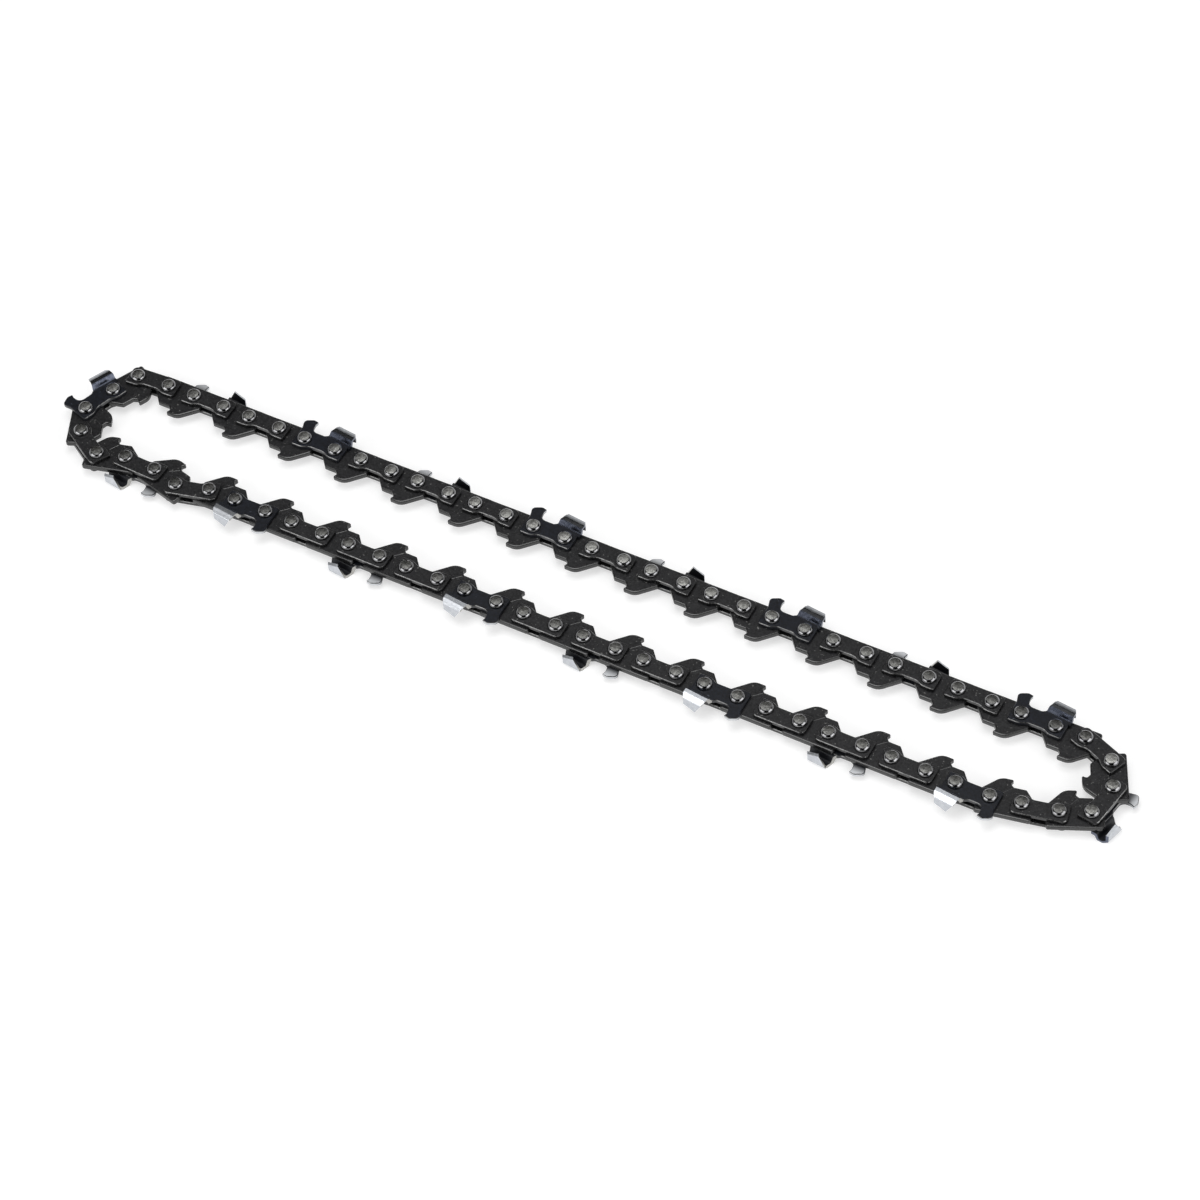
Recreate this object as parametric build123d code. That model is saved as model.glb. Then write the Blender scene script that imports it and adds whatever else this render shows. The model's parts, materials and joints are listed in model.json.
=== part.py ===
from build123d import *
import math
import os

# A loop of quarter-inch saw chain lying on its side: rivets upright, +X along the two straight runs, +Z up.
# All lengths are in millimetres and all angles in degrees.

# Chain pitch and plates
PITCH = 6.35                # half the distance across three rivets
SPACING_SPLIT = 0.49        # side links are this much longer than the pitch, drive links this much shorter
GAUGE = 1.1                 # drive link thickness, which fits the groove of the bar
STRAP_THICKNESS = 0.8
SIDE_CLEARANCE = 0.04       # between a drive link and the plate on each side of it

# Rivets, drawn with few sides because the loop has seventy-two of them
HEAD_DIAMETER = 3.0
HEAD_HEIGHT = 0.75
HEAD_SIDES = 8
HUB_DIAMETER = 2.4          # across the corners of the hub that turns in the drive link
HUB_SIDES = 6
HUB_CLEARANCE = 0.05        # between the hub and the drive link's hole

# Tie straps, measured from the rivet line and the rivet centres
STRAP_OUTER = 2.2           # height of the straight outer edge
STRAP_INNER = 2.1           # depth of the two feet on the inner edge
STRAP_WAIST = 1.4           # depth of the inner edge between the feet
STRAP_END = 1.9             # reach of each end beyond its rivet
STRAP_CORNER = 0.7          # clipped outer corner
FOOT_REACH = 0.5            # reach of each foot from its rivet towards the middle
WAIST_SLOPE = 1.3           # length over which the foot rises to the waist

# Drive links
DRIVE_OUTER = 2.85          # height of the outer edge, which stands past the straps
DRIVE_CORNER = 0.4          # clipped outer corner
DRIVE_END = 2.35            # reach of each end beyond its rivet
SHOULDER_TOP = 1.2          # depth at which the leading end starts to slope in
SHOULDER_DEPTH = 3.8        # depth of the flat in front of the hook
SHOULDER_START = 0.1        # the flat starts this far ahead of the leading rivet
HOOK_FRONT = 2.95           # front corner of the hook at the bottom, behind the leading rivet
HOOK_ROOT = 2.85            # root of the hook, where its front edge starts below the notch
NOTCH_CORNER = 0.6          # clipped corner where the flat turns down the hook
TANG_DEPTH = 5.4            # depth of the tang's bottom
TANG_FLAT = 1.3             # length of the tang's bottom before it rounds off
TANG_RADIUS = 1.8           # rounding between the bottom and the trailing edge
TAIL_DEPTH = 2.0            # depth at which the trailing edge meets the end

# Cutters: a side plate with a depth gauge over its first rivet and a tooth over its second
GAUGE_TIP_HEIGHT = 4.95     # height of the depth gauge's tip
GAUGE_TIP_WIDTH = 1.5
GAUGE_NOSE = 2.45           # reach of the depth gauge ahead of its rivet
GAUGE_BACK = 0.3            # the depth gauge's back edge behind its rivet
GULLET_HEIGHT = 2.4         # height of the gullet's floor
GULLET_RADIUS = 1.4
TOOTH_FRONT = 2.0           # cutting corner ahead of the tooth's rivet
TOOTH_REAR = 2.3            # heel of the tooth behind its rivet
TOOTH_HEIGHT = 5.3          # height of the top plate at the cutting corner
TOOTH_WALL = 0.7            # thickness of the tooth's side and top plates
TOOTH_PROUD = 0.2           # the tooth stands out this far past the rivet heads, to cut their way free
TOOTH_CORNER = 0.4          # bevel of the working corner
TOP_PLATE_FRONT = 3.3       # width of the top plate behind the cutting edge
TOP_PLATE_HEEL = 2.4        # width of the top plate at the heel
TOP_PLATE_ANGLE = 28        # slant of the cutting edge
TOP_PLATE_FALL = 6          # the top plate falls towards the heel
TOOTH_ROOT = 1.9            # height at which the tooth's root starts, inside the plate
FLARE_FOOT = 2.7            # height at which the side plate bends out past the rivet heads
FLARE_TOP = 3.2             # height at which it is out
FLARE_SETBACK = 0.4         # the inside of this bend lies so much higher than its outside

# The loop: clockwise turns at the rivets, first along the right turn and then along the left one
RUN_DRIVE_COUNT = 13        # drive links that hang between the two turns, along each run
LEAD_IN_COUNT = 4           # straight links at the start of the right turn
RIGHT_TURNS = (22, 41, 36, 57, 12, 1, 11)
LEFT_TURNS = (-14, 28, -12, -17, 46, 35, 43)

# Worked-out sizes
SIDE_SPACING = PITCH + SPACING_SPLIT
DRIVE_SPACING = PITCH - SPACING_SPLIT
LOWER_FACE = TOOTH_PROUD + HEAD_HEIGHT                  # underside of the lower plates
LOWER_INSIDE = LOWER_FACE + STRAP_THICKNESS
DRIVE_FLOOR = LOWER_INSIDE + SIDE_CLEARANCE
UPPER_INSIDE = DRIVE_FLOOR + GAUGE + SIDE_CLEARANCE
UPPER_FACE = UPPER_INSIDE + STRAP_THICKNESS             # top of the upper plates
MID_HEIGHT = (LOWER_FACE + UPPER_FACE) / 2
TOOTH_SIDE = UPPER_FACE + HEAD_HEIGHT + TOOTH_PROUD     # outer face of an upper tooth

# Links and rivets are numbered clockwise from above. Link n joins rivets n and n + 1.
# Even links are side links and odd links are drive links. Link 0 closes the loop at the left.
FAR_START = 3                                           # first link of the far run
FAR_END = FAR_START + 2 * RUN_DRIVE_COUNT - 1           # first link of the right turn
RIGHT_BEND = FAR_END + LEAD_IN_COUNT                    # first rivet that turns there
NEAR_START = RIGHT_BEND + len(RIGHT_TURNS)              # first link of the near run
NEAR_END = NEAR_START + 2 * RUN_DRIVE_COUNT - 1         # first link and first turning rivet of the left turn
LINK_COUNT = NEAR_END + len(LEFT_TURNS) + 1


def is_drive(link):
    """Odd links are drive links."""
    return link % 2 == 1


def side_kind(link):
    """Side links repeat as tie, lower cutter, tie, upper cutter."""
    return ("tie", "lower_cutter", "tie", "upper_cutter")[link // 2 % 4]


def rivet_places():
    """Rivet centres by number: a walk from rivet 1 along the far run, both turns and the near run."""
    turns = dict(enumerate(RIGHT_TURNS, RIGHT_BEND))
    turns.update(enumerate(LEFT_TURNS, NEAR_END))
    places = {1: Vector(0, 0)}
    heading = 0
    for rivet in range(2, LINK_COUNT):
        heading -= turns.get(rivet - 1, 0)
        length = DRIVE_SPACING if is_drive(rivet - 1) else SIDE_SPACING
        places[rivet] = places[rivet - 1] + Vector(length, 0).rotate(Axis.Z, heading)
    # Rivet 0 lies one drive link from the last rivet and one side link from rivet 1, on the outer side
    last, first = places[LINK_COUNT - 1], places[1]
    gap = first - last
    along = (gap.length**2 + DRIVE_SPACING**2 - SIDE_SPACING**2) / (2 * gap.length)
    aside = math.sqrt(DRIVE_SPACING**2 - along**2)
    places[0] = last + gap.normalized() * along + gap.normalized().rotate(Axis.Z, 90) * aside
    places[LINK_COUNT] = places[0]
    return places


def plate(points, floor, thickness):
    """A flat plate of the given outline, standing on the height floor."""
    return Pos(0, 0, floor) * extrude(make_face(Polyline(*points, close=True)), thickness)


def drive_link():
    """Centre plate with a hooked tang and two rivet holes, its leading rivet at the origin."""
    tail = DRIVE_SPACING + DRIVE_END
    flat_end = HOOK_FRONT + TANG_FLAT
    bottom = Line((HOOK_FRONT, -TANG_DEPTH), (flat_end, -TANG_DEPTH))
    rounding = JernArc(bottom @ 1, bottom % 1, TANG_RADIUS, trailing_angle(flat_end, tail))
    trailing = Line(rounding @ 1, (tail, -TAIL_DEPTH))
    rest = Polyline(
        trailing @ 1,
        (tail, DRIVE_OUTER - DRIVE_CORNER),
        (tail - DRIVE_CORNER, DRIVE_OUTER),
        (DRIVE_CORNER - DRIVE_END, DRIVE_OUTER),
        (-DRIVE_END, DRIVE_OUTER - DRIVE_CORNER),
        (-DRIVE_END, -SHOULDER_TOP),
        (-SHOULDER_START, -SHOULDER_DEPTH),
        (HOOK_ROOT - NOTCH_CORNER, -SHOULDER_DEPTH),
        (HOOK_ROOT, -SHOULDER_DEPTH - NOTCH_CORNER),
        bottom @ 0,
    )
    outline = make_face([bottom, rounding, trailing, *rest.edges()])
    hole_apothem = HUB_DIAMETER / 2 + HUB_CLEARANCE
    hole = RegularPolygon(hole_apothem, HUB_SIDES, major_radius=False)
    outline -= [hole, Pos(DRIVE_SPACING, 0) * hole]
    return Pos(0, 0, DRIVE_FLOOR) * extrude(outline, GAUGE)


def trailing_angle(flat_end, tail):
    """Turn of the tang's rounding that points the trailing edge at the end's lower corner."""
    centre = Vector(flat_end, TANG_RADIUS - TANG_DEPTH)
    reach = Vector(tail, -TAIL_DEPTH) - centre
    chord = math.degrees(math.atan2(reach.Y, reach.X))
    return chord + 90 - math.degrees(math.acos(TANG_RADIUS / reach.length))


def strap_inner_edge():
    """The waisted inner edge of a side plate, from its trailing end back to its leading end."""
    half = (
        (STRAP_END, -STRAP_INNER),
        (-FOOT_REACH, -STRAP_INNER),
        (-FOOT_REACH - WAIST_SLOPE, -STRAP_WAIST),
    )
    trailing = [(SIDE_SPACING + x, y) for x, y in half]
    return trailing + [(-x, y) for x, y in reversed(half)]


def tie_strap(floor):
    """Plain side plate with clipped corners, its leading rivet at the origin."""
    outer = [
        (-STRAP_END, STRAP_OUTER - STRAP_CORNER),
        (STRAP_CORNER - STRAP_END, STRAP_OUTER),
        (SIDE_SPACING + STRAP_END - STRAP_CORNER, STRAP_OUTER),
        (SIDE_SPACING + STRAP_END, STRAP_OUTER - STRAP_CORNER),
    ]
    return plate(outer + strap_inner_edge(), floor, STRAP_THICKNESS)


def cutter_plate():
    """Side plate of an upper cutter: a tie strap with a hooked depth gauge and a gullet."""
    rounding = GULLET_RADIUS * (1 - math.sqrt(0.5))         # the gullet's corner is cut on the slant
    outer = [
        (-STRAP_END, STRAP_OUTER - STRAP_CORNER),
        (-GAUGE_NOSE, (STRAP_OUTER + GAUGE_TIP_HEIGHT) / 2),
        (GAUGE_BACK - GAUGE_TIP_WIDTH, GAUGE_TIP_HEIGHT),
        (GAUGE_BACK, GAUGE_TIP_HEIGHT),
        (GAUGE_BACK, GULLET_HEIGHT + GULLET_RADIUS),
        (GAUGE_BACK + rounding, GULLET_HEIGHT + rounding),
        (GAUGE_BACK + GULLET_RADIUS, GULLET_HEIGHT),
        (SIDE_SPACING - TOOTH_FRONT, GULLET_HEIGHT),
        (SIDE_SPACING + STRAP_END, STRAP_OUTER - STRAP_CORNER),
    ]
    return plate(outer + strap_inner_edge(), UPPER_INSIDE, STRAP_THICKNESS)


def tooth():
    """Upper tooth: its side plate steps out past the rivet heads and folds over into the top plate."""
    inner_side = TOOTH_SIDE - TOOTH_WALL
    section = (
        (TOOTH_ROOT, UPPER_INSIDE),
        (TOOTH_ROOT, UPPER_FACE),
        (FLARE_FOOT, UPPER_FACE),
        (FLARE_TOP, TOOTH_SIDE),
        (TOOTH_HEIGHT - TOOTH_CORNER, TOOTH_SIDE),
        (TOOTH_HEIGHT, TOOTH_SIDE - TOOTH_CORNER),
        (TOOTH_HEIGHT, TOOTH_SIDE - TOP_PLATE_FRONT),
        (TOOTH_HEIGHT - TOOTH_WALL, TOOTH_SIDE - TOP_PLATE_FRONT),
        (TOOTH_HEIGHT - TOOTH_WALL, inner_side),
        (FLARE_TOP + FLARE_SETBACK, inner_side),
        (FLARE_FOOT + FLARE_SETBACK, UPPER_INSIDE),
    )
    front = SIDE_SPACING - TOOTH_FRONT
    heel = SIDE_SPACING + TOOTH_REAR
    heelward = Vector(1, 0).rotate(Axis.Z, -TOP_PLATE_FALL)
    across = Plane(origin=(front, 0, 0), x_dir=heelward.rotate(Axis.Z, 90), z_dir=heelward)
    blank = extrude(across * make_face(Polyline(*section, close=True)), 2 * (heel - front))
    slant = TOP_PLATE_FRONT * math.tan(math.radians(TOP_PLATE_ANGLE))
    plan = (
        (front, TOOTH_SIDE),
        (front + slant, TOOTH_SIDE - TOP_PLATE_FRONT),
        (heel, TOOTH_SIDE - TOP_PLATE_HEEL),
        (heel, TOOTH_SIDE),
    )
    trim = extrude(Plane.XZ * make_face(Polyline(*plan, close=True)), -2 * TOOTH_HEIGHT)
    return blank & trim


def rivets():
    """The two rivets of a side link: a hub between the plates and a head on each outer face."""
    hub = extrude(RegularPolygon(HUB_DIAMETER / 2, HUB_SIDES), UPPER_INSIDE - LOWER_INSIDE)
    head = extrude(RegularPolygon(HEAD_DIAMETER / 2, HEAD_SIDES), HEAD_HEIGHT)
    rivet = [
        Pos(0, 0, LOWER_INSIDE) * hub,
        Pos(0, 0, LOWER_FACE - HEAD_HEIGHT) * head,
        Pos(0, 0, UPPER_FACE) * head,
    ]
    return rivet + [Pos(SIDE_SPACING, 0) * piece for piece in rivet]


def tie_link():
    """Two tie straps riveted together."""
    return tie_strap(LOWER_FACE) + [tie_strap(UPPER_INSIDE), *rivets()]


def cutter_link():
    """An upper cutter riveted to a lower tie strap."""
    return tie_strap(LOWER_FACE) + [cutter_plate(), tooth(), *rivets()]


def links():
    """Every link by number, at its place in a loop that rests on Z = 0 about the origin."""
    upper_cutter = cutter_link()
    patterns = {
        "drive": drive_link().solid(),
        "tie": tie_link().solid(),
        "upper_cutter": upper_cutter.solid(),
        "lower_cutter": mirror(upper_cutter, Plane.XY.offset(MID_HEIGHT)).solid(),
    }
    places = rivet_places()
    placed = {}
    for link in range(LINK_COUNT):
        start, end = places[link], places[link + 1]
        heading = math.degrees(math.atan2(end.Y - start.Y, end.X - start.X))
        kind = "drive" if is_drive(link) else side_kind(link)
        placed[link] = patterns[kind].moved(Pos(start.X, start.Y) * Rot(0, 0, heading))
    centre = Compound(list(placed.values())).bounding_box().center()
    return {link: solid.moved(Pos(-centre.X, -centre.Y)) for link, solid in placed.items()}


def node_names():
    """Link numbers by node: each run link and each cutter alone, the turns' other links in groups."""
    nodes = {}
    for link in range(LINK_COUNT):
        kind = "drive" if is_drive(link) else side_kind(link)
        if FAR_START <= link < FAR_END:
            name = f"far_{kind}_link_{link:02d}"
        elif NEAR_START <= link < NEAR_END:
            name = f"near_{kind}_link_{link:02d}"
        else:
            side = "right" if FAR_END <= link < NEAR_START else "left"
            name = f"{side}_turn_{kind}_links"
            if "cutter" in kind:
                name = f"{side}_turn_{kind}_link_{link:02d}"
        nodes.setdefault(name, []).append(link)
    return nodes


def main():
    os.makedirs("parts", exist_ok=True)
    solids = links()
    for name, numbers in node_names().items():
        export_step(Compound([solids[number] for number in numbers]), f"parts/{name}.step")


if __name__ == "__main__":
    main()
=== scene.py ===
import json
import math

import bmesh
import bpy
from mathutils import Matrix, Vector


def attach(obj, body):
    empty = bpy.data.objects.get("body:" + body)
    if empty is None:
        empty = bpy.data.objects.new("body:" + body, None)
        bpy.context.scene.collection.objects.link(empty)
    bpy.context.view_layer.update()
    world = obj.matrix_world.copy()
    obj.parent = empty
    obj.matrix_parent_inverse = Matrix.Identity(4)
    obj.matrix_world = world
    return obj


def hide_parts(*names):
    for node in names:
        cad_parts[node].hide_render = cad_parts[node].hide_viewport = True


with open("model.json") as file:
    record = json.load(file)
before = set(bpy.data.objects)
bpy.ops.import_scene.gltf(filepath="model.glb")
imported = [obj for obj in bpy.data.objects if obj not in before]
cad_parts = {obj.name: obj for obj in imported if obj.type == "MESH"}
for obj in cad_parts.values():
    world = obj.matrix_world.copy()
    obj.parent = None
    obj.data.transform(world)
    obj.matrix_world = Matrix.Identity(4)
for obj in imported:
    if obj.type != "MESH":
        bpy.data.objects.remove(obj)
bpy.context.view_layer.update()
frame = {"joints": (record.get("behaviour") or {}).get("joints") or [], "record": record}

# A loop of saw chain on its side, dressed link by link. Lengths are in millimetres until a mesh is placed.
MM = 0.001

# Spacing and stacking of the plates, as in the solid model
PITCH = 6.35
SPACING_SPLIT = 0.49
SIDE_SPACING = PITCH + SPACING_SPLIT
DRIVE_SPACING = PITCH - SPACING_SPLIT
GAUGE = 1.1
STRAP_THICKNESS = 0.8
SIDE_CLEARANCE = 0.04
HEAD_HEIGHT = 0.75
TOOTH_PROUD = 0.2
LOWER_FACE = TOOTH_PROUD + HEAD_HEIGHT
LOWER_INSIDE = LOWER_FACE + STRAP_THICKNESS
DRIVE_FLOOR = LOWER_INSIDE + SIDE_CLEARANCE
DRIVE_TOP = DRIVE_FLOOR + GAUGE
UPPER_INSIDE = DRIVE_TOP + SIDE_CLEARANCE
UPPER_FACE = UPPER_INSIDE + STRAP_THICKNESS
MID_HEIGHT = (LOWER_FACE + UPPER_FACE) / 2
TOOTH_SIDE = UPPER_FACE + HEAD_HEIGHT + TOOTH_PROUD

# Rivets: a head rises from an upright rim over a rounded shoulder to a peened flat, which is a little domed
HEAD_DIAMETER = 3.0
FLAT_DIAMETER = 2.1
DOME_DIAMETER = 1.1
RIM_RISE = 0.2
FLAT_RISE = 0.85
CROWNED_HEIGHT = 0.88       # the peened crown stands a little past the plain head of the solid model
SHOULDER_STEPS = 4
SHOULDER_TURN = math.radians(60)
HUB_DIAMETER = 2.4
HUB_CLEARANCE = 0.05
ROUND_SIDES = 20
HEAD_LEAN = 2.0             # degrees that the heads lean towards the inside of the loop
LEAN_LOSS = 0.05            # and that they lose per millimetre along the right half of the far run
WELD = 0.001                # points nearer than this are one
LEVEL_FACE = 0.95           # a face whose upright share of the normal is more than this is level
SLANTED_FACE = 0.2          # one with less than this is a plate's wall
RIM_FACE = 0.1              # and one with less than this is a rivet head's rim
SHARP_EDGE = math.radians(21)

# Plate outlines: corners as x, y and rounding, with the leading rivet at the origin and +y outwards
SIDE_EDGE = 0.12            # tumbled bevel round the side plates
SIDE_EDGE_STEPS = 1
DRIVE_EDGE = 0.22           # rounding of the drive links' edges
DRIVE_EDGE_STEPS = 2
CORNER_STEPS = 5            # straight pieces in each rounded corner
STRAP_END = 1.9             # reach of a side plate beyond its rivets
STRAP_OUTER = 2.2
STRAP_INNER = 2.1
STRAP_WAIST = 1.4
FOOT_REACH = 0.5            # reach of each foot on the inner edge, from its rivet towards the middle
WAIST_REACH = 1.8           # where that edge has come up from the foot to the waist
WAIST_ROUNDING = 2.2
FOOT_ROUNDING = 0.35
STRAP_ROUNDING = 1.0
STRAP_INNER_EDGE = (
    (SIDE_SPACING + STRAP_END, -STRAP_INNER, FOOT_ROUNDING),
    (SIDE_SPACING - FOOT_REACH, -STRAP_INNER, WAIST_ROUNDING),
    (SIDE_SPACING - WAIST_REACH, -STRAP_WAIST, WAIST_ROUNDING),
    (WAIST_REACH, -STRAP_WAIST, WAIST_ROUNDING),
    (FOOT_REACH, -STRAP_INNER, WAIST_ROUNDING),
    (-STRAP_END, -STRAP_INNER, FOOT_ROUNDING),
)
STRAP_CORNERS = (
    (-STRAP_END, STRAP_OUTER, STRAP_ROUNDING),
    (SIDE_SPACING + STRAP_END, STRAP_OUTER, STRAP_ROUNDING),
    *STRAP_INNER_EDGE,
)
GULLET_FLOOR = 2.25
CUTTER_CORNERS = (
    (-STRAP_END, STRAP_OUTER, 0.8),
    (-2.5, 4.1, 0.8),
    (-0.7, 4.98, 0.9),
    (0.35, 4.75, 0.16),
    (0.12, 4.0, 0.5),
    (0.3, GULLET_FLOOR, 1.2),
    (3.2, GULLET_FLOOR, 0.6),
    (3.75, 2.6, 0),
    (SIDE_SPACING + STRAP_END, 2.15, 0.3),
    *STRAP_INNER_EDGE,
)
DRIVE_END = 2.35            # reach of a drive link beyond its rivets
DRIVE_OUTER = 2.85
SHOULDER_DEPTH = 3.8        # depth of the flat in front of the hook
TANG_DEPTH = 5.42
DRIVE_CORNERS = (
    (-DRIVE_END, DRIVE_OUTER, 0.5),
    (DRIVE_SPACING + DRIVE_END, DRIVE_OUTER, 0.5),
    (DRIVE_SPACING + DRIVE_END, -2.0, 0.3),
    (5.03, -TANG_DEPTH, 2.4),
    (2.55, -TANG_DEPTH, 0.22),
    (3.0, -4.5, 0.4),
    (2.25, -SHOULDER_DEPTH, 0.25),
    (-0.1, -SHOULDER_DEPTH, 0.25),
    (-DRIVE_END, -1.2, 0.3),
)
CREASE_START = (2.5, -3.5)  # stamped crease across the tang, from near the notch to the strap's foot
CREASE_END = (3.95, -2.05)
CREASE_HEIGHT = 0.03
CREASE_FACE = 0.06          # width of its steep face
CREASE_FALL = 1.2           # width of its gentle one

# Tooth: the section runs from the plate's edge out to the side and over into the top plate
TOOTH_HEIGHT = 5.28
TOOTH_WALL = 0.45
TOOTH_ROOT = 1.9
TOOTH_SINK = 0.03           # the root lies this far inside the plate's faces
FLARE_FOOT = 2.7            # height at which the side plate bends out past the rivet heads
FLARE_TOP = 3.2
FLARE_SETBACK = 0.4         # the inside of this bend lies so much higher than its outside
FLARE_ROUNDING = 0.12
SIDE_LEAN = 0.05            # the side plate leans in by this share of its height
WORKING_CORNER = 0.2        # rounding between the side plate and the top plate
EASE = 0.24                 # below it the side plate eases inwards by this much
EASE_STRETCH = 1.0
SIDE_STEPS = 8              # steps up the side plate, which give its gullet and its ease a smooth curve
TOOTH_FRONT = SIDE_SPACING - 2.15
TOOTH_HEEL = SIDE_SPACING + 2.3
FRONT_SWEEP = 1.3           # the gullet brings the side plate's front forward by this much at its root
TOP_PLATE_FRONT = 3.25
TOP_PLATE_HEEL = 2.35
TOP_PLATE_ANGLE = 27        # degrees that the cutting edge slants back
TOP_PLATE_DROP = 6.5        # degrees that the top plate falls towards its heel
TOP_PLATE_SLANT = math.tan(math.radians(TOP_PLATE_ANGLE))
TOP_PLATE_FALL = math.tan(math.radians(TOP_PLATE_DROP))
HEEL_CHAMFER = 0.5          # slope of the heel over its last stretch
HEEL_STRETCH = 0.9
EDGE_SLOPE = 0.2            # the free edge of the top plate slopes by this much through the wall
GRIND = 0.15                # the ground front leans back this far through the wall
TOOTH_STATIONS = 7          # sections along the tooth

# The loop: clockwise turns at the rivets of the right and of the left turn
RUN_DRIVE_COUNT = 13
LEAD_IN_COUNT = 4
RIGHT_TURNS = (22, 41, 36, 57, 12, 1, 11)
LEFT_TURNS = (-14, 28, -12, -17, 46, 35, 43)
FAR_START = 3
FAR_END = FAR_START + 2 * RUN_DRIVE_COUNT - 1
RIGHT_BEND = FAR_END + LEAD_IN_COUNT
NEAR_START = RIGHT_BEND + len(RIGHT_TURNS)
NEAR_END = NEAR_START + 2 * RUN_DRIVE_COUNT - 1
LINK_COUNT = NEAR_END + len(LEFT_TURNS) + 1

# Finishes
GRAIN_SPREAD = (0.34, 0.68)     # noise levels between which a grain goes from its first colour to its second
GRAIN_DETAIL = 4.0              # finer layers in the noise, and how much of each is left in the next
GRAIN_FADE = 0.6
RELIEF = 0.02                   # depth of the grain
FLECK_EDGE = 0.06               # rise of the noise over a fleck's soft edge
MIX_UNDER, MIX_OVER, MIX_RESULT = 6, 7, 2   # a Mix node's colours, by number because their names repeat

# Camera, in metres and degrees
CAMERA_PLACE = Vector((0.27137, -0.422118, 0.61601))
CAMERA_HEADING = 122.2645   # it looks this way over the table, from +X towards +Y
CAMERA_DIP = 50.8455        # and down by this much
CAMERA_ROLL = -4.85
CAMERA_LENS = 126.75        # focal length and width of the film, in millimetres
CAMERA_SENSOR = 36

# Floor, screen and lamps, in metres, degrees and watts
FLOOR_REACH = 4
FLOOR_LIFT = 0.56           # glow that lifts the lit floor to white for the eye
FILL_LIGHT = 0.25           # strength of the surround as a light on the chain
# The screen glows and shows only in the metal's reflections: painted reflections, with dark bands, a black
# curtain and one bright panel
SCREEN_RADIUS = 1.2
SCREEN_TOP = 2.0
SCREEN_SIDES = 64
SCREEN_SHADES = (           # elevation seen from the chain, and brightness there
    (0, 1.0),
    (12, 0.8),
    (28, 0.02),
    (45, 0.02),
    (50, 0.4),
    (55, 1.0),
)
CURTAIN_REACH = 22          # the screen is black this far to each side of the camera
CURTAIN_EDGE = 12           # and turns light over this much more
PANEL_FLOOR = 46            # above this elevation it is grey but for one panel
PANEL_AZIMUTH = 124
PANEL_REACH = 3
PANEL_EDGE = 8
BESIDE_PANEL = 0.35         # brightness of that grey
SOFTBOXES = (               # name, place, size and power
    ("front_left_softbox", (-0.381, -0.753, 0.4), (0.8, 0.55), 3.8),
    ("front_right_softbox", (0.837, 0.0, 0.4), (0.8, 0.55), 3.8),
    ("overhead_softbox", (-0.1, 0.0, 0.9), (0.7, 0.5), 3.6),
)


def linear(code):
    """A linear colour from an sRGB hex code."""
    levels = [int(code[place:place + 2], 16) / 255 for place in (1, 3, 5)]
    return (*[c / 12.92 if c <= 0.04045 else ((c + 0.055) / 1.055) ** 2.4 for c in levels], 1)


def node(tree, kind, settings=None, inputs=None):
    """Adds a node, with its settings, and with its inputs linked or set. A list goes whole to one input."""
    made = tree.nodes.new(kind)
    for name, value in (settings or {}).items():
        setattr(made, name, value)
    for name, value in (inputs or {}).items():
        socket = made.inputs[name]
        for source in value if isinstance(value, list) else [value]:
            if isinstance(source, bpy.types.NodeSocket):
                tree.links.new(source, socket)
            else:
                socket.default_value = source
    return made


def finish(name):
    """A new material with an empty Principled surface, and its Object coordinates."""
    material = bpy.data.materials.new(name)
    material.use_nodes = True
    tree = material.node_tree
    surface = tree.nodes["Principled BSDF"]
    coordinates = node(tree, "ShaderNodeTexCoord").outputs["Object"]
    return material, tree, surface, coordinates


def per_mm(size):
    """Noise scale that gives features of this size."""
    return 1 / (size * MM)


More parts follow.
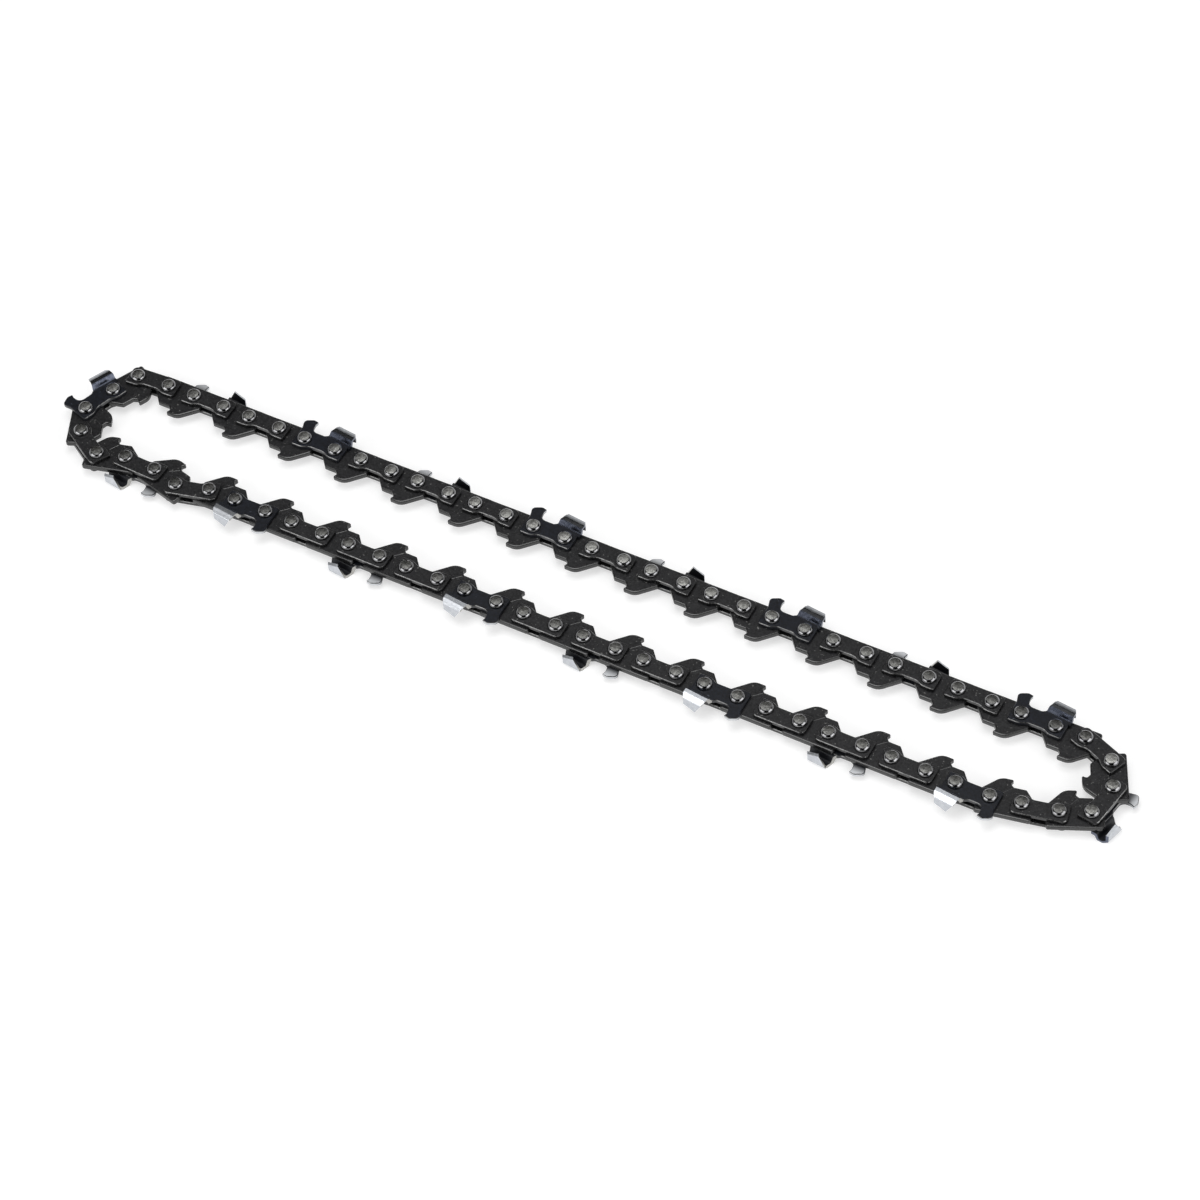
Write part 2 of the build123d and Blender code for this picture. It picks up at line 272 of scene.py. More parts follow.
def metal_finish(name, colours, grain, roughness, metallic, bump=0.0, specks=None, level=0.5, silver_towards_tip=None):
    """Metal whose colour and gloss vary with a grain of this many millimetres.

    A real grain is a few hundredths of a millimetre, too fine to show, so it is drawn as coarse as it needs.
    Specks are light flecks: their size, the noise level at which they start, and their colour. Silver towards
    tip is the reach at which a plate starts to turn to silver metal, the reach at which it is all silver, and
    that colour.
    """
    material, tree, surface, coordinates = finish(name)
    surface.inputs["Metallic"].default_value = metallic
    surface.inputs["Specular IOR Level"].default_value = level
    noise = node(tree, "ShaderNodeTexNoise", None,
                 {"Vector": coordinates, "Scale": per_mm(grain), "Detail": GRAIN_DETAIL,
                  "Roughness": GRAIN_FADE})
    ramp = node(tree, "ShaderNodeValToRGB", None, {"Fac": noise.outputs["Fac"]})
    for stop, position, colour in zip(ramp.color_ramp.elements, GRAIN_SPREAD, colours):
        stop.position = position
        stop.color = linear(colour)
    colour = ramp.outputs["Color"]
    if specks:
        size, least, tint = specks
        flecks = node(tree, "ShaderNodeTexNoise", None, {"Vector": coordinates, "Scale": per_mm(size)})
        amount = node(tree, "ShaderNodeMapRange", None,
                      {"Value": flecks.outputs["Fac"], "From Min": least, "From Max": least + FLECK_EDGE})
        mixed = node(tree, "ShaderNodeMix", {"data_type": "RGBA"},
                     {"Factor": amount.outputs["Result"], MIX_UNDER: colour, MIX_OVER: linear(tint)})
        colour = mixed.outputs[MIX_RESULT]
    if silver_towards_tip:
        first, last, tint = silver_towards_tip
        reach = node(tree, "ShaderNodeAttribute", {"attribute_name": "reach"})
        bare = node(tree, "ShaderNodeMapRange", {"interpolation_type": "SMOOTHSTEP"},
                    {"Value": reach.outputs["Fac"], "From Min": first, "From Max": last})
        mixed = node(tree, "ShaderNodeMix", {"data_type": "RGBA"},
                     {"Factor": bare.outputs["Result"], MIX_UNDER: colour, MIX_OVER: linear(tint)})
        colour = mixed.outputs[MIX_RESULT]
        tree.links.new(bare.outputs["Result"], surface.inputs["Metallic"])
    tree.links.new(colour, surface.inputs["Base Color"])
    gloss = node(tree, "ShaderNodeMapRange", None,
                 {"Value": noise.outputs["Fac"], "To Min": roughness[0], "To Max": roughness[1]})
    tree.links.new(gloss.outputs["Result"], surface.inputs["Roughness"])
    if bump:
        relief = node(tree, "ShaderNodeBump", None,
                      {"Height": noise.outputs["Fac"], "Strength": bump, "Distance": RELIEF * MM})
        tree.links.new(relief.outputs["Normal"], surface.inputs["Normal"])
    return material


# Black oxide on blanked steel: near black and satin, with a soft sheen, a fine grain and specks of bare steel
BLACK_OXIDE = metal_finish("black_oxide_steel", ("#030304", "#252527"), 0.35, (0.22, 0.54), 0.0,
                           bump=1.0, specks=(0.45, 0.67, "#6a6a68"), level=0.34)
# Walls of a blanked plate, burnished by the punch: as dark, but smooth enough to mirror the table
SHEARED_WALL = metal_finish("sheared_oxide_wall", ("#0b0b0c", "#19191a"), 0.5, (0.2, 0.34), 0.0, level=0.7)
# Tumbled edges where the oxide is rubbed thin: grey steel that draws a light line along each side plate, part
# wear and part a painted highlight on the bevels
WORN_EDGE_AND_HIGHLIGHT = metal_finish("rubbed_edge_and_painted_highlight", ("#4e4e4f", "#838382"), 0.5, (0.3, 0.42), 1.0)
# A raised line on the plate, where the oxide is worn but not through: dark grey steel, lighter than the face,
# part wear and part a painted highlight along the crease
WORN_LINE_AND_HIGHLIGHT = metal_finish("worn_line_and_painted_highlight", ("#4c4c4d", "#6e6e6d"), 0.5, (0.34, 0.46), 1.0)
# Cutter plates are hardened and blued: blue black, a little darker and more even than the straps
BLUES = ("#07080c", "#161a24")
BLUED_STEEL = metal_finish("blued_cutter_steel", BLUES, 0.4, (0.28, 0.4), 0.0,
                           bump=0.7, specks=(0.7, 0.72, "#4d525c"), level=0.3)
# Inner side and walls of a cutter plate: blued, turning to silver metal towards the tip of its depth gauge
GAUGE_INSIDE = metal_finish("blued_plate_silver_towards_gauge_tip", BLUES, 0.4, (0.38, 0.48), 0.0,
                            bump=0.2, level=0.9, silver_towards_tip=(2.8, 4.7, "#ced0d3"))
# Hard chrome on the outside of the tooth: smooth and silver, with a cool tint
CHROME = metal_finish("hard_chrome", ("#b9bcc2", "#c9ccd0"), 0.8, (0.1, 0.16), 1.0)
# The tooth's working corner rubs in the cut: its chrome is worn matt, so it draws a broad light band
WORN_CHROME = metal_finish("worn_chrome_corner", ("#b2b5ba", "#c9ccd0"), 0.4, (0.28, 0.38), 1.0)
# Where the tooth bends out of the plate the chrome is thin and blued by heat
BLUED_BEND = metal_finish("heat_blued_bend", ("#565b69", "#6f7482"), 0.6, (0.18, 0.26), 1.0)
# Freshly ground cutting edge and gullet: bright bare steel
GROUND_STEEL = metal_finish("ground_tool_steel", ("#a09f9c", "#c4c3bf"), 0.3, (0.22, 0.36), 1.0, bump=0.2)
# Inside of the tooth: blued like the plate but left rough by the forming
TOOTH_INSIDE = metal_finish("formed_tooth_inside", ("#0c0d11", "#181a20"), 0.3, (0.45, 0.6), 0.0, level=0.4)
# Peened rivet ends: bare steel beaten flat, softly mottled in grey
PEENED_STEEL = metal_finish("peened_rivet_steel", ("#868683", "#bebeba"), 0.5, (0.16, 0.26), 1.0, bump=0.8)
# Rounded shoulder of a rivet head: dark polished steel that mirrors the lamps
RIVET_SIDE = metal_finish("polished_rivet_steel", ("#727274", "#8d8d8e"), 0.6, (0.12, 0.2), 1.0)
# Finishes up the outside of a tooth, over its root and its bend
BEND_FINISHES = (BLUED_STEEL, BLUED_BEND, BLUED_BEND, BLUED_BEND)


def rounded(corners):
    """The closed outline through these corners, each rounded off by its own radius."""
    outline = []
    for place, (x, y, radius) in enumerate(corners):
        here = Vector((x, y))
        if not radius:
            outline.append(here)
            continue
        back = (Vector(corners[place - 1][:2]) - here).normalized()
        ahead = (Vector(corners[(place + 1) % len(corners)][:2]) - here).normalized()
        half = back.angle(ahead) / 2
        centre = here + (back + ahead).normalized() * radius / math.sin(half)
        start = here + back * radius / math.tan(half) - centre
        turn = math.pi - 2 * half
        if back.x * ahead.y - back.y * ahead.x < 0:
            turn = -turn
        for step in range(CORNER_STEPS + 1):
            outline.append(centre + Matrix.Rotation(-turn * step / CORNER_STEPS, 2) @ start)
    return outline


def ring(centre, radius, sides):
    """A round hole's outline."""
    angles = [2 * math.pi * side / sides for side in range(sides)]
    return [Vector((centre + radius * math.cos(a), radius * math.sin(a))) for a in angles]


def closed_up(mesh):
    """Merges a mesh's double points, turns its faces outwards and marks its sharp edges."""
    work = bmesh.new()
    work.from_mesh(mesh)
    bmesh.ops.remove_doubles(work, verts=work.verts, dist=WELD)
    bmesh.ops.dissolve_degenerate(work, dist=WELD, edges=work.edges)
    bmesh.ops.recalc_face_normals(work, faces=work.faces)
    work.to_mesh(mesh)
    work.free()
    mesh.shade_smooth()
    mesh.set_sharp_from_angle(angle=SHARP_EDGE)
    return mesh


def plate(name, outlines, floor, thickness, edge, steps, finishes):
    """A plate that stands on the height floor, with its edges broken by this much in so many steps.

    The first outline is its edge and the rest are holes. The finishes are for its faces and its walls. Broken
    edges are marked, because the tree that repeats the plate gives them theirs.
    """
    curve = bpy.data.curves.new(name, "CURVE")
    curve.dimensions = "2D"
    curve.fill_mode = "BOTH"
    curve.extrude = thickness / 2 - edge
    curve.bevel_depth = edge
    curve.bevel_resolution = steps - 1
    curve.offset = -edge
    for outline in outlines:
        spline = curve.splines.new("POLY")
        spline.points.add(len(outline) - 1)
        spline.use_cyclic_u = True
        for point, place in zip(spline.points, outline):
            point.co = (place.x, place.y, 0, 1)
    shape = bpy.data.objects.new(name, curve)
    bpy.context.scene.collection.objects.link(shape)
    mesh = bpy.data.meshes.new_from_object(shape.evaluated_get(bpy.context.evaluated_depsgraph_get()))
    bpy.data.objects.remove(shape)
    bpy.data.curves.remove(curve)
    mesh.transform(Matrix.Translation((0, 0, floor + thickness / 2)))
    closed_up(mesh)
    mesh.materials.clear()
    for material in finishes:
        mesh.materials.append(material)
    slopes = [abs(face.normal.z) for face in mesh.polygons]
    for face, upright in zip(mesh.polygons, slopes):
        face.material_index = 0 if upright > SLANTED_FACE else 1
    broken = mesh.attributes.new("broken_edge", "BOOLEAN", "FACE")
    broken.data.foreach_set("value", [SLANTED_FACE < upright < LEVEL_FACE for upright in slopes])
    return mesh


def keep_finish_on_ends(mesh):
    """Leaves the face's finish on the broken edges of a side plate's two ends, where nothing rubs it, so that
    the painted highlight line runs only along the long edges.
    """
    broken = mesh.attributes["broken_edge"].data
    for face in mesh.polygons:
        if abs(face.normal.x) > abs(face.normal.y):
            broken[face.index].value = False


def joined(name, meshes):
    """One mesh out of several, each keeping its own material."""
    whole = bmesh.new()
    materials = []
    for mesh in meshes:
        first = len(whole.faces)
        whole.from_mesh(mesh)
        whole.faces.ensure_lookup_table()
        for face in whole.faces[first:]:
            material = mesh.materials[face.material_index]
            if material not in materials:
                materials.append(material)
            face.material_index = materials.index(material)
    result = bpy.data.meshes.new(name)
    whole.to_mesh(result)
    whole.free()
    for material in materials:
        result.materials.append(material)
    return result


def crease(height, side):
    """The stamped crease across a tang, on a drive link's face at this height. Side is 1 above, -1 below."""
    start, end = Vector(CREASE_START), Vector(CREASE_END)
    along = (end - start).normalized()
    facing = Vector((-along.y, along.x))
    steep, gentle = facing * CREASE_FACE, facing * -CREASE_FALL
    places = [(start + steep, 0), (end + steep, 0), (start, CREASE_HEIGHT), (end, CREASE_HEIGHT / 2),
              (start + gentle, 0), (end + gentle, 0)]
    mesh = bpy.data.meshes.new("crease")
    mesh.from_pydata([(p.x, p.y, height + side * rise) for p, rise in places], [],
                     [(0, 1, 3, 2), (2, 3, 5, 4), (0, 2, 4), (1, 5, 3), (0, 4, 5, 1)])
    mesh.materials.append(BLACK_OXIDE)
    mesh.materials.append(WORN_LINE_AND_HIGHLIGHT)
    # The crease's steep face takes the grey steel: a painted highlight line along the crease, partly wear
    mesh.polygons[0].material_index = 1
    return closed_up(mesh)


def front_of_tooth(height, side):
    """Where the tooth starts along the chain, this high and this far out. The cutting edge slants back."""
    rise = (height - TOOTH_ROOT) / (TOOTH_HEIGHT - TOOTH_ROOT)
    front = TOOTH_FRONT - FRONT_SWEEP * (1 - rise) ** 2
    if height > TOOTH_HEIGHT - TOOTH_WALL - TOOTH_SINK:
        front += (TOOTH_SIDE - side) * TOP_PLATE_SLANT
    return front


def eased(height, start, end):
    """How far the side plate stands in at this height, by its lean and its ease under the working corner."""
    share = max(0, height - end + EASE_STRETCH) / EASE_STRETCH
    return SIDE_LEAN * (height - start) + EASE * share**2


def tooth_wall(face, setback, side, top):
    """One face of the tooth's section, as heights and distances out, from root to the top plate's edge."""
    foot, crest = FLARE_FOOT + setback, FLARE_TOP + setback
    wall = [
        (TOOTH_ROOT, face),
        (foot - FLARE_ROUNDING, face),
        (foot + FLARE_ROUNDING / 2, face + FLARE_ROUNDING),
        (crest - FLARE_ROUNDING / 2, side - FLARE_ROUNDING),
    ]
    start, end = crest + FLARE_ROUNDING, top - WORKING_CORNER
    for step in range(SIDE_STEPS):
        height = start + (end - start) * step / SIDE_STEPS
        wall.append((height, side - eased(height, start, end)))
    for step in range(CORNER_STEPS + 1):
        angle = math.pi / 2 * step / CORNER_STEPS
        wall.append((end + WORKING_CORNER * math.sin(angle),
                     side - eased(end, start, end) - WORKING_CORNER * (1 - math.cos(angle))))
    return wall + [(top, None)]


def tooth():
    """The cutting tooth: its side plate flares out past the rivet heads and folds over into the top plate."""
    outer = tooth_wall(UPPER_FACE - TOOTH_SINK, 0, TOOTH_SIDE, TOOTH_HEIGHT)
    inner = tooth_wall(UPPER_INSIDE + TOOTH_SINK, FLARE_SETBACK, TOOTH_SIDE - TOOTH_WALL,
                       TOOTH_HEIGHT - TOOTH_WALL)
    section = [(*point, 0) for point in outer] + [(*point, GRIND) for point in reversed(inner)]
    work = bmesh.new()
    stations = []
    for station in range(TOOTH_STATIONS):
        share = station / (TOOTH_STATIONS - 1)
        free_edge = TOOTH_SIDE - TOP_PLATE_FRONT - (TOP_PLATE_HEEL - TOP_PLATE_FRONT) * share
        row = []
        for height, side, grind in section:
            if side is None:
                side = free_edge + (EDGE_SLOPE if height == TOOTH_HEIGHT else 0)
            front = front_of_tooth(height, side) + grind
            heel = TOOTH_HEEL - max(0, height - TOOTH_HEIGHT + HEEL_STRETCH) * HEEL_CHAMFER
            x = front + (heel - front) * share
            row.append(work.verts.new((x, height - TOP_PLATE_FALL * max(0, x - TOOTH_FRONT), side)))
        stations.append(row)
    count, half = len(section), len(outer)
    finishes = [CHROME, WORN_CHROME, GROUND_STEEL, TOOTH_INSIDE, BLUED_BEND, BLUED_STEEL]
    worn_from = TOOTH_HEIGHT - WORKING_CORNER - EASE_STRETCH
    for before, after in zip(stations, stations[1:]):
        for place in range(count):
            beside = (place + 1) % count
            face = work.faces.new((before[place], before[beside], after[beside], after[place]))
            if place < len(BEND_FINISHES):
                face.material_index = finishes.index(BEND_FINISHES[place])
            elif place == half - 1 or place < half - 2 and section[place][0] > worn_from:
                face.material_index = finishes.index(WORN_CHROME)
            else:
                face.material_index = finishes.index(CHROME if place < half else TOOTH_INSIDE)
    for row, end_finish in ((stations[0], GROUND_STEEL), (stations[-1], BLUED_BEND)):
        for place in range(half - 1):
            across = count - 1 - place
            face = work.faces.new((row[place], row[place + 1], row[across - 1], row[across]))
            face.material_index = finishes.index(end_finish)
    mesh = bpy.data.meshes.new("tooth")
    work.to_mesh(mesh)
    work.free()
    for material in finishes:
        mesh.materials.append(material)
    return closed_up(mesh)


def turned_over(mesh):
    """The same piece on the chain's other side."""
    copy = mesh.copy()
    copy.transform(Matrix.Translation((0, 0, 2 * MID_HEIGHT)) @ Matrix.Scale(-1, 4, (0, 0, 1)))
    copy.flip_normals()
    return copy


def master(name, meshes):
    """A pattern piece in metres, for the trees to repeat."""
    mesh = joined(name, meshes)
    mesh.set_sharp_from_angle(angle=SHARP_EDGE)
    reach = mesh.attributes.new("reach", "FLOAT", "POINT")
    reach.data.foreach_set("value", [point.co.y for point in mesh.vertices])
    mesh.transform(Matrix.Scale(MM, 4))
    made = bpy.data.objects.new(name, mesh)
    bpy.context.scene.collection.objects.link(made)
    return made


def new_tree(name, sockets):
    """A geometry tree with these named inputs, and the sockets that give their values in it."""
    tree = bpy.data.node_groups.new(name, "GeometryNodeTree")
    for label, kind, value in sockets:
        socket = tree.interface.new_socket(label, in_out="INPUT", socket_type=kind)
        if value is not None:
            socket.default_value = value
    tree.interface.new_socket("Geometry", in_out="OUTPUT", socket_type="NodeSocketGeometry")
    return tree, node(tree, "NodeGroupInput").outputs


def links_tree():
    """Repeats a pattern piece at each link place, turned along the chain, with its broken edges' finish."""
    tree, given = new_tree("links_along_chain", (
        ("Geometry", "NodeSocketGeometry", None),
        ("Pattern", "NodeSocketObject", None),
        ("Edge finish", "NodeSocketMaterial", None),
    ))
    pattern = node(tree, "GeometryNodeObjectInfo", {"transform_space": "ORIGINAL"},
                   {"Object": given["Pattern"]})
    heading = node(tree, "GeometryNodeInputNamedAttribute", {"data_type": "FLOAT"}, {"Name": "heading"})
    turn = node(tree, "ShaderNodeCombineXYZ", None, {"Z": heading.outputs[0]})
    placed = node(tree, "GeometryNodeInstanceOnPoints", None,
                  {"Points": given["Geometry"], "Instance": pattern.outputs["Geometry"],
                   "Rotation": turn.outputs["Vector"]})
    real = node(tree, "GeometryNodeRealizeInstances", None, {"Geometry": placed.outputs["Instances"]})
    broken = node(tree, "GeometryNodeInputNamedAttribute", {"data_type": "BOOLEAN"}, {"Name": "broken_edge"})
    done = node(tree, "GeometryNodeSetMaterial", None,
                {"Geometry": real.outputs["Geometry"], "Selection": broken.outputs[0],
                 "Material": given["Edge finish"]})
    node(tree, "NodeGroupOutput", None, {"Geometry": done.outputs["Geometry"]})
    return tree


def rivets_tree():
    """Builds a rivet at each point from its sizes: a hub and two rounded heads with a peened flat on each."""
    widths = {
        "Head diameter": HEAD_DIAMETER, "Flat diameter": FLAT_DIAMETER, "Dome diameter": DOME_DIAMETER,
        "Hub diameter": HUB_DIAMETER, "Grip": UPPER_FACE - LOWER_FACE,
    }
    heights = {"Rim rise": RIM_RISE, "Flat rise": FLAT_RISE, "Head height": CROWNED_HEIGHT}
    tree, given = new_tree("rivets_through_links", (
        ("Geometry", "NodeSocketGeometry", None),
        *[(label, "NodeSocketFloat", size * MM) for label, size in {**widths, **heights}.items()],
        ("Sides", "NodeSocketInt", ROUND_SIDES),
        ("Rim finish", "NodeSocketMaterial", None),
        ("Shoulder finish", "NodeSocketMaterial", None),
        ("Flat finish", "NodeSocketMaterial", None),
    ))

    def raised(mesh, height):
        """The mesh, moved up by this much."""
        lift = node(tree, "ShaderNodeCombineXYZ", None, {"Z": height})
        return node(tree, "GeometryNodeTransform", None,
                    {"Geometry": mesh, "Translation": lift.outputs["Vector"]}).outputs["Geometry"]

    half = {}
    for label in widths:
        halved = node(tree, "ShaderNodeMath", {"operation": "MULTIPLY"}, {0: given[label], 1: 0.5})
        half[label] = halved.outputs["Value"]
    run = node(tree, "ShaderNodeMath", {"operation": "SUBTRACT"},
               {0: half["Flat diameter"], 1: half["Head diameter"]})
    rise = node(tree, "ShaderNodeMath", {"operation": "SUBTRACT"},
                {0: given["Flat rise"], 1: given["Rim rise"]})
    rings = [(half["Head diameter"], None), (half["Head diameter"], given["Rim rise"])]
    for step in range(1, SHOULDER_STEPS + 1):
        angle = SHOULDER_TURN * step / SHOULDER_STEPS
        inwards = (1 - math.cos(angle)) / (1 - math.cos(SHOULDER_TURN))
        upwards = math.sin(angle) / math.sin(SHOULDER_TURN)
        reach = node(tree, "ShaderNodeMath", {"operation": "MULTIPLY_ADD"},
                     {0: run.outputs["Value"], 1: inwards, 2: half["Head diameter"]})
        level = node(tree, "ShaderNodeMath", {"operation": "MULTIPLY_ADD"},
                     {0: rise.outputs["Value"], 1: upwards, 2: given["Rim rise"]})
        rings.append((reach.outputs["Value"], level.outputs["Value"]))
    rings.append((half["Dome diameter"], given["Head height"]))
    parts = []
    for (below, floor), (above, top) in zip(rings, rings[1:]):
        depth = top
        if floor:
            between = node(tree, "ShaderNodeMath", {"operation": "SUBTRACT"}, {0: top, 1: floor})
            depth = between.outputs["Value"]
        cone = node(tree, "GeometryNodeMeshCone", {"fill_type": "NONE"},
                    {"Vertices": given["Sides"], "Radius Bottom": below, "Radius Top": above, "Depth": depth})
        parts.append(raised(cone.outputs["Mesh"], floor or 0.0))
    flat = node(tree, "GeometryNodeMeshCircle", {"fill_type": "NGON"},
                {"Vertices": given["Sides"], "Radius": half["Dome diameter"]})
    parts.append(raised(flat.outputs["Mesh"], given["Head height"]))
    head = node(tree, "GeometryNodeJoinGeometry", None, {"Geometry": parts})
    upper = raised(head.outputs["Geometry"], half["Grip"])
    lower = node(tree, "GeometryNodeTransform", None, {"Geometry": upper, "Rotation": (math.pi, 0, 0)})
    hub = node(tree, "GeometryNodeMeshCylinder", {"fill_type": "NONE"},
               {"Vertices": given["Sides"], "Radius": half["Hub diameter"], "Depth": given["Grip"]})
    whole = node(tree, "GeometryNodeJoinGeometry", None,
                 {"Geometry": [upper, lower.outputs["Geometry"], hub.outputs["Mesh"]]})
    welded = node(tree, "GeometryNodeMergeByDistance", None,
                  {"Geometry": whole.outputs["Geometry"], "Distance": WELD * MM})
    heading = node(tree, "GeometryNodeInputNamedAttribute", {"data_type": "FLOAT"}, {"Name": "heading"})
    lean = node(tree, "GeometryNodeInputNamedAttribute", {"data_type": "FLOAT"}, {"Name": "lean"})
    turn = node(tree, "ShaderNodeCombineXYZ", None, {"X": lean.outputs[0], "Z": heading.outputs[0]})
    placed = node(tree, "GeometryNodeInstanceOnPoints", None,
                  {"Points": given["Geometry"], "Instance": welded.outputs["Geometry"],
                   "Rotation": turn.outputs["Vector"]})
    real = node(tree, "GeometryNodeRealizeInstances", None, {"Geometry": placed.outputs["Instances"]})
    normal = node(tree, "GeometryNodeInputNormal")
    shares = node(tree, "ShaderNodeSeparateXYZ", None, {"Vector": normal.outputs[0]})
    upright = node(tree, "ShaderNodeMath", {"operation": "ABSOLUTE"}, {0: shares.outputs["Z"]})
    dressed = node(tree, "GeometryNodeSetMaterial", None,
                   {"Geometry": real.outputs["Geometry"], "Material": given["Rim finish"]})
    for label, least in (("Shoulder finish", RIM_FACE), ("Flat finish", LEVEL_FACE)):
        chosen = node(tree, "FunctionNodeCompare", {"operation": "GREATER_THAN"},
                      {0: upright.outputs["Value"], 1: least})
        dressed = node(tree, "GeometryNodeSetMaterial", None,
                       {"Geometry": dressed.outputs["Geometry"], "Selection": chosen.outputs["Result"],
                        "Material": given[label]})
    node(tree, "NodeGroupOutput", None, {"Geometry": dressed.outputs["Geometry"]})
    return tree


def rivet_places():
    """Rivet centres by number, walked round the loop and set on the rivet that starts the far run."""
    turns = dict(enumerate(RIGHT_TURNS, RIGHT_BEND))
    turns.update(enumerate(LEFT_TURNS, NEAR_END))
    places = {1: Vector((0, 0))}
    heading = 0
    for rivet in range(2, LINK_COUNT):
        heading -= math.radians(turns.get(rivet - 1, 0))
        length = SIDE_SPACING if rivet % 2 else DRIVE_SPACING
        places[rivet] = places[rivet - 1] + length * Vector((math.cos(heading), math.sin(heading)))
    last = places[LINK_COUNT - 1]
    gap = places[1] - last
    along = (gap.length**2 + DRIVE_SPACING**2 - SIDE_SPACING**2) / (2 * gap.length)
    aside = math.sqrt(DRIVE_SPACING**2 - along**2)
    places[0] = last + gap.normalized() * along + Vector((-gap.y, gap.x)).normalized() * aside
    places[LINK_COUNT] = places[0]
    hinge = next(j for j in frame["joints"] if j["name"] == f"rivet_{FAR_START:02d}")
    shift = Vector(hinge["pos_m"][:2]) / MM - places[FAR_START]
    return {rivet: place + shift for rivet, place in places.items()}


def head_lean(rivet):
    """How far a rivet leans towards the inside of the loop."""
    straightened = LEAN_LOSS * max(0, PLACES[rivet].x) if rivet <= RIGHT_BEND else 0
    return math.radians(HEAD_LEAN - straightened)


def kind_of(link):
    """Odd links are drive links, and side links repeat as tie, lower cutter, tie, upper cutter."""
    return "drive" if link % 2 else ("tie", "lower_cutter", "tie", "upper_cutter")[link // 2 % 4]


def node_of(link):
    """The solid model's node that holds a link."""
    kind = kind_of(link)
    if FAR_START <= link < FAR_END:
        return f"far_{kind}_link_{link:02d}"
    if NEAR_START <= link < NEAR_END:
        return f"near_{kind}_link_{link:02d}"
    side = "right" if FAR_END <= link < NEAR_START else "left"
    return f"{side}_turn_{kind}_link_{link:02d}" if "cutter" in kind else f"{side}_turn_{kind}_links"


def repeated(name, tree, points, turns, inputs):
    """A plain mesh of what the tree makes at these points, in metres, turned as these attributes say."""
    mesh = bpy.data.meshes.new(name)
    mesh.from_pydata(points, [], [])
    for label, angles in turns.items():
        mesh.attributes.new(label, "FLOAT", "POINT").data.foreach_set("value", angles)
    maker = bpy.data.objects.new(name + ".maker", mesh)
    bpy.context.scene.collection.objects.link(maker)
    modifier = maker.modifiers.new("repeat", "NODES")
    modifier.node_group = tree
    for item in tree.interface.items_tree:
        if item.in_out == "INPUT" and item.name in inputs:
            modifier[item.identifier] = inputs[item.name]
    made = bpy.data.meshes.new_from_object(maker.evaluated_get(bpy.context.evaluated_depsgraph_get()))
    bpy.data.objects.remove(maker)
    bpy.data.meshes.remove(mesh)
    made.name = name
    piece = bpy.data.objects.new(name, made)
    bpy.context.scene.collection.objects.link(piece)
    return piece


# Pattern pieces
drive_holes = [ring(x, HUB_DIAMETER / 2 + HUB_CLEARANCE, ROUND_SIDES) for x in (0, DRIVE_SPACING)]
drive_blank = plate("drive_blank", [rounded(DRIVE_CORNERS), *drive_holes], DRIVE_FLOOR, GAUGE,
                    DRIVE_EDGE, DRIVE_EDGE_STEPS, (BLACK_OXIDE, SHEARED_WALL))
upper_strap = plate("upper_strap", [rounded(STRAP_CORNERS)], UPPER_INSIDE, STRAP_THICKNESS,
                    SIDE_EDGE, SIDE_EDGE_STEPS, (BLACK_OXIDE, SHEARED_WALL))
cutter_blank = plate("cutter_blank", [rounded(CUTTER_CORNERS)], UPPER_INSIDE, STRAP_THICKNESS,
                     SIDE_EDGE, SIDE_EDGE_STEPS, (BLUED_STEEL, GAUGE_INSIDE))
for blank in (upper_strap, cutter_blank):
    keep_finish_on_ends(blank)
for face in cutter_blank.polygons:
    if face.normal.z < -LEVEL_FACE:
        face.material_index = 1
cutter_tooth = tooth()
lower_strap = turned_over(upper_strap)
PATTERNS = {
    "drive": {"plate": master("drive_plate", [drive_blank, crease(DRIVE_TOP, 1), crease(DRIVE_FLOOR, -1)])},
    "tie": {"straps": master("tie_straps", [upper_strap, lower_strap])},
    "upper_cutter": {"cutter": master("upper_cutter", [cutter_blank, cutter_tooth]),
                     "strap": master("lower_strap", [lower_strap])},
    "lower_cutter": {"cutter": master("lower_cutter", [turned_over(cutter_blank), turned_over(cutter_tooth)]),
                     "strap": master("upper_strap", [upper_strap])},
}
# Finish of each piece's broken edges; on the side plates it is rubbed steel with a painted highlight
EDGE_FINISH = {"plate": SHEARED_WALL, "straps": WORN_EDGE_AND_HIGHLIGHT, "strap": WORN_EDGE_AND_HIGHLIGHT, "cutter": WORN_EDGE_AND_HIGHLIGHT}

# The chain, node by node
LINKS_TREE = links_tree()
RIVETS_TREE = rivets_tree()
PLACES = rivet_places()
members = {}
for link in range(LINK_COUNT):
    members.setdefault(node_of(link), []).append(link)
bodies = {name: body for body, names in frame["record"]["behaviour"]["bodies"].items() for name in names}
for name, numbers in members.items():
    kind = kind_of(numbers[0])
    starts = [(*PLACES[link] * MM, 0) for link in numbers]
    ways = [PLACES[link + 1] - PLACES[link] for link in numbers]
    headings = [math.atan2(way.y, way.x) for way in ways]
    pieces = []
    for label, pattern in PATTERNS[kind].items():
        piece = repeated(f"{name}_{label}", LINKS_TREE, starts, {"heading": headings},
                         {"Pattern": pattern, "Edge finish": EDGE_FINISH[label]})
        pieces.append(piece)
    if kind != "drive":
        rivets = [rivet for link in numbers for rivet in (link, link + 1)]
        centres = [(*PLACES[rivet] * MM, MID_HEIGHT * MM) for rivet in rivets]
        turns = {"heading": [heading for heading in headings for _ in range(2)],
                 "lean": [head_lean(rivet) for rivet in rivets]}
        piece = repeated(f"{name}_rivets", RIVETS_TREE, centres, turns,
                         {"Rim finish": BLACK_OXIDE, "Shoulder finish": RIVET_SIDE,
                          "Flat finish": PEENED_STEEL})
        piece.data.shade_smooth()
        piece.data.set_sharp_from_angle(angle=SHARP_EDGE)
        pieces.append(piece)
    for piece in pieces:
        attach(piece, bodies[name])
        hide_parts(name)
for patterns in PATTERNS.values():
    for pattern in patterns.values():
        bpy.data.objects.remove(pattern)


